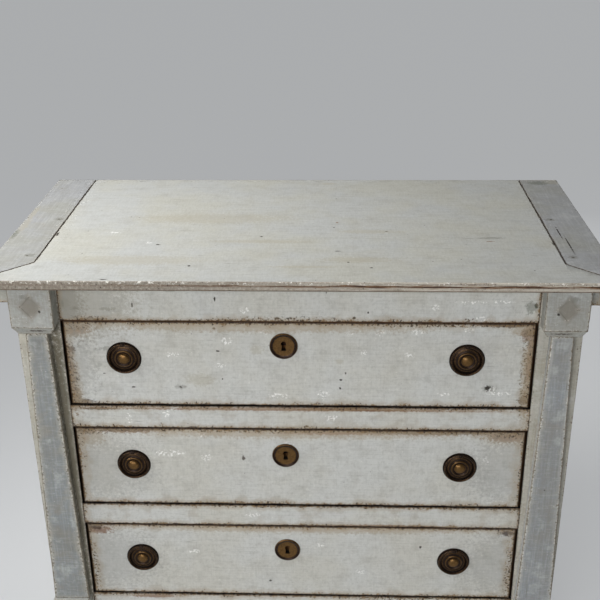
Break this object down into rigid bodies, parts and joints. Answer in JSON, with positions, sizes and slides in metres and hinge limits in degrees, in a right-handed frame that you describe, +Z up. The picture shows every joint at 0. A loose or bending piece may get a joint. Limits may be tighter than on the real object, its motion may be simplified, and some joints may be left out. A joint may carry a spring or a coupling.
{
  "type": "commode",
  "caption": "Painted wooden commode with full-width drawers between tapered pilasters, square lozenge blocks, ring pulls, round keyhole plates and tapered feet.",
  "frame": {"origin": "on the floor, under the middle of the top", "axes": "+X to the right seen from the front, -Y towards the front, +Z up"},
  "size_m": [1.1, 0.57, 0.85],
  "materials": {
    "painted_wood": "worn chalky pale grey-white paint on pine, brown wood at the arrises",
    "painted_pilaster": "worn blue-grey paint on pine with pale arrises",
    "bare_pine": "bare aged pine, planed",
    "aged_brass": "stamped brass with a dark brown patina, brighter on the boss",
    "iron": "dark wrought iron"
  },
  "bodies": {
    "case": {"top_board": "painted_wood", "top_cleat_left": "painted_wood", "top_cleat_right": "painted_wood", "side_board_left": "painted_wood", "side_board_right": "painted_wood", "corner_post_left": "painted_wood", "corner_post_right": "painted_wood", "base_rail": "painted_wood", "divider_rail_lower": "painted_wood", "divider_rail_upper": "painted_wood", "frieze_rail": "painted_wood", "corner_block_left": "painted_wood", "corner_block_right": "painted_wood", "plinth_block_left": "painted_wood", "plinth_block_right": "painted_wood", "side_cornice_left": "painted_wood", "side_cornice_right": "painted_wood", "foot_front_left": "painted_wood", "foot_front_right": "painted_wood", "rear_feet": "painted_wood", "pilaster_left": "painted_pilaster", "pilaster_right": "painted_pilaster", "bottom_board": "bare_pine", "back_boards": "bare_pine", "upper_drawer_slides": "bare_pine", "middle_drawer_slides": "bare_pine", "lower_drawer_slides": "bare_pine"},
    "upper_drawer": {"upper_drawer_front": "painted_wood", "upper_drawer_side_left": "bare_pine", "upper_drawer_side_right": "bare_pine", "upper_drawer_back": "bare_pine", "upper_drawer_bottom": "bare_pine", "upper_lock_case": "iron", "upper_escutcheon": "aged_brass", "upper_handle_plates": "aged_brass"},
    "upper_lock_bolt": {"upper_lock_bolt": "iron"},
    "upper_ring_left": {"upper_ring_left": "aged_brass"},
    "upper_ring_right": {"upper_ring_right": "aged_brass"},
    "middle_drawer": {"middle_drawer_front": "painted_wood", "middle_drawer_side_left": "bare_pine", "middle_drawer_side_right": "bare_pine", "middle_drawer_back": "bare_pine", "middle_drawer_bottom": "bare_pine", "middle_lock_case": "iron", "middle_escutcheon": "aged_brass", "middle_handle_plates": "aged_brass"},
    "middle_lock_bolt": {"middle_lock_bolt": "iron"},
    "middle_ring_left": {"middle_ring_left": "aged_brass"},
    "middle_ring_right": {"middle_ring_right": "aged_brass"},
    "lower_drawer": {"lower_drawer_front": "painted_wood", "lower_drawer_side_left": "bare_pine", "lower_drawer_side_right": "bare_pine", "lower_drawer_back": "bare_pine", "lower_drawer_bottom": "bare_pine", "lower_lock_case": "iron", "lower_escutcheon": "aged_brass", "lower_handle_plates": "aged_brass"},
    "lower_lock_bolt": {"lower_lock_bolt": "iron"},
    "lower_ring_left": {"lower_ring_left": "aged_brass"},
    "lower_ring_right": {"lower_ring_right": "aged_brass"}
  },
  "joints": [
    {"name": "upper_drawer_slide", "type": "slide", "parent": "case", "child": "upper_drawer", "axis": [0, -1, 0], "range_m": [0, 0.38]},
    {"name": "upper_lock_bolt_throw", "type": "slide", "parent": "upper_drawer", "child": "upper_lock_bolt", "axis": [0, 0, 1], "range_m": [0, 0.009]},
    {"name": "upper_ring_left_swing", "type": "hinge", "parent": "upper_drawer", "child": "upper_ring_left", "pos_m": [-0.313, -0.2471, 0.70947], "axis": [-1, 0, 0], "range_deg": [0, 170]},
    {"name": "upper_ring_right_swing", "type": "hinge", "parent": "upper_drawer", "child": "upper_ring_right", "pos_m": [0.301, -0.2471, 0.70947], "axis": [-1, 0, 0], "range_deg": [0, 170]},
    {"name": "middle_drawer_slide", "type": "slide", "parent": "case", "child": "middle_drawer", "axis": [0, -1, 0], "range_m": [0, 0.38]},
    {"name": "middle_lock_bolt_throw", "type": "slide", "parent": "middle_drawer", "child": "middle_lock_bolt", "axis": [0, 0, 1], "range_m": [0, 0.009]},
    {"name": "middle_ring_left_swing", "type": "hinge", "parent": "middle_drawer", "child": "middle_ring_left", "pos_m": [-0.313, -0.2471, 0.48246], "axis": [-1, 0, 0], "range_deg": [0, 170]},
    {"name": "middle_ring_right_swing", "type": "hinge", "parent": "middle_drawer", "child": "middle_ring_right", "pos_m": [0.301, -0.2471, 0.48246], "axis": [-1, 0, 0], "range_deg": [0, 170]},
    {"name": "lower_drawer_slide", "type": "slide", "parent": "case", "child": "lower_drawer", "axis": [0, -1, 0], "range_m": [0, 0.38]},
    {"name": "lower_lock_bolt_throw", "type": "slide", "parent": "lower_drawer", "child": "lower_lock_bolt", "axis": [0, 0, 1], "range_m": [0, 0.009]},
    {"name": "lower_ring_left_swing", "type": "hinge", "parent": "lower_drawer", "child": "lower_ring_left", "pos_m": [-0.313, -0.2471, 0.26247], "axis": [-1, 0, 0], "range_deg": [0, 170]},
    {"name": "lower_ring_right_swing", "type": "hinge", "parent": "lower_drawer", "child": "lower_ring_right", "pos_m": [0.301, -0.2471, 0.26247], "axis": [-1, 0, 0], "range_deg": [0, 170]}
  ]
}
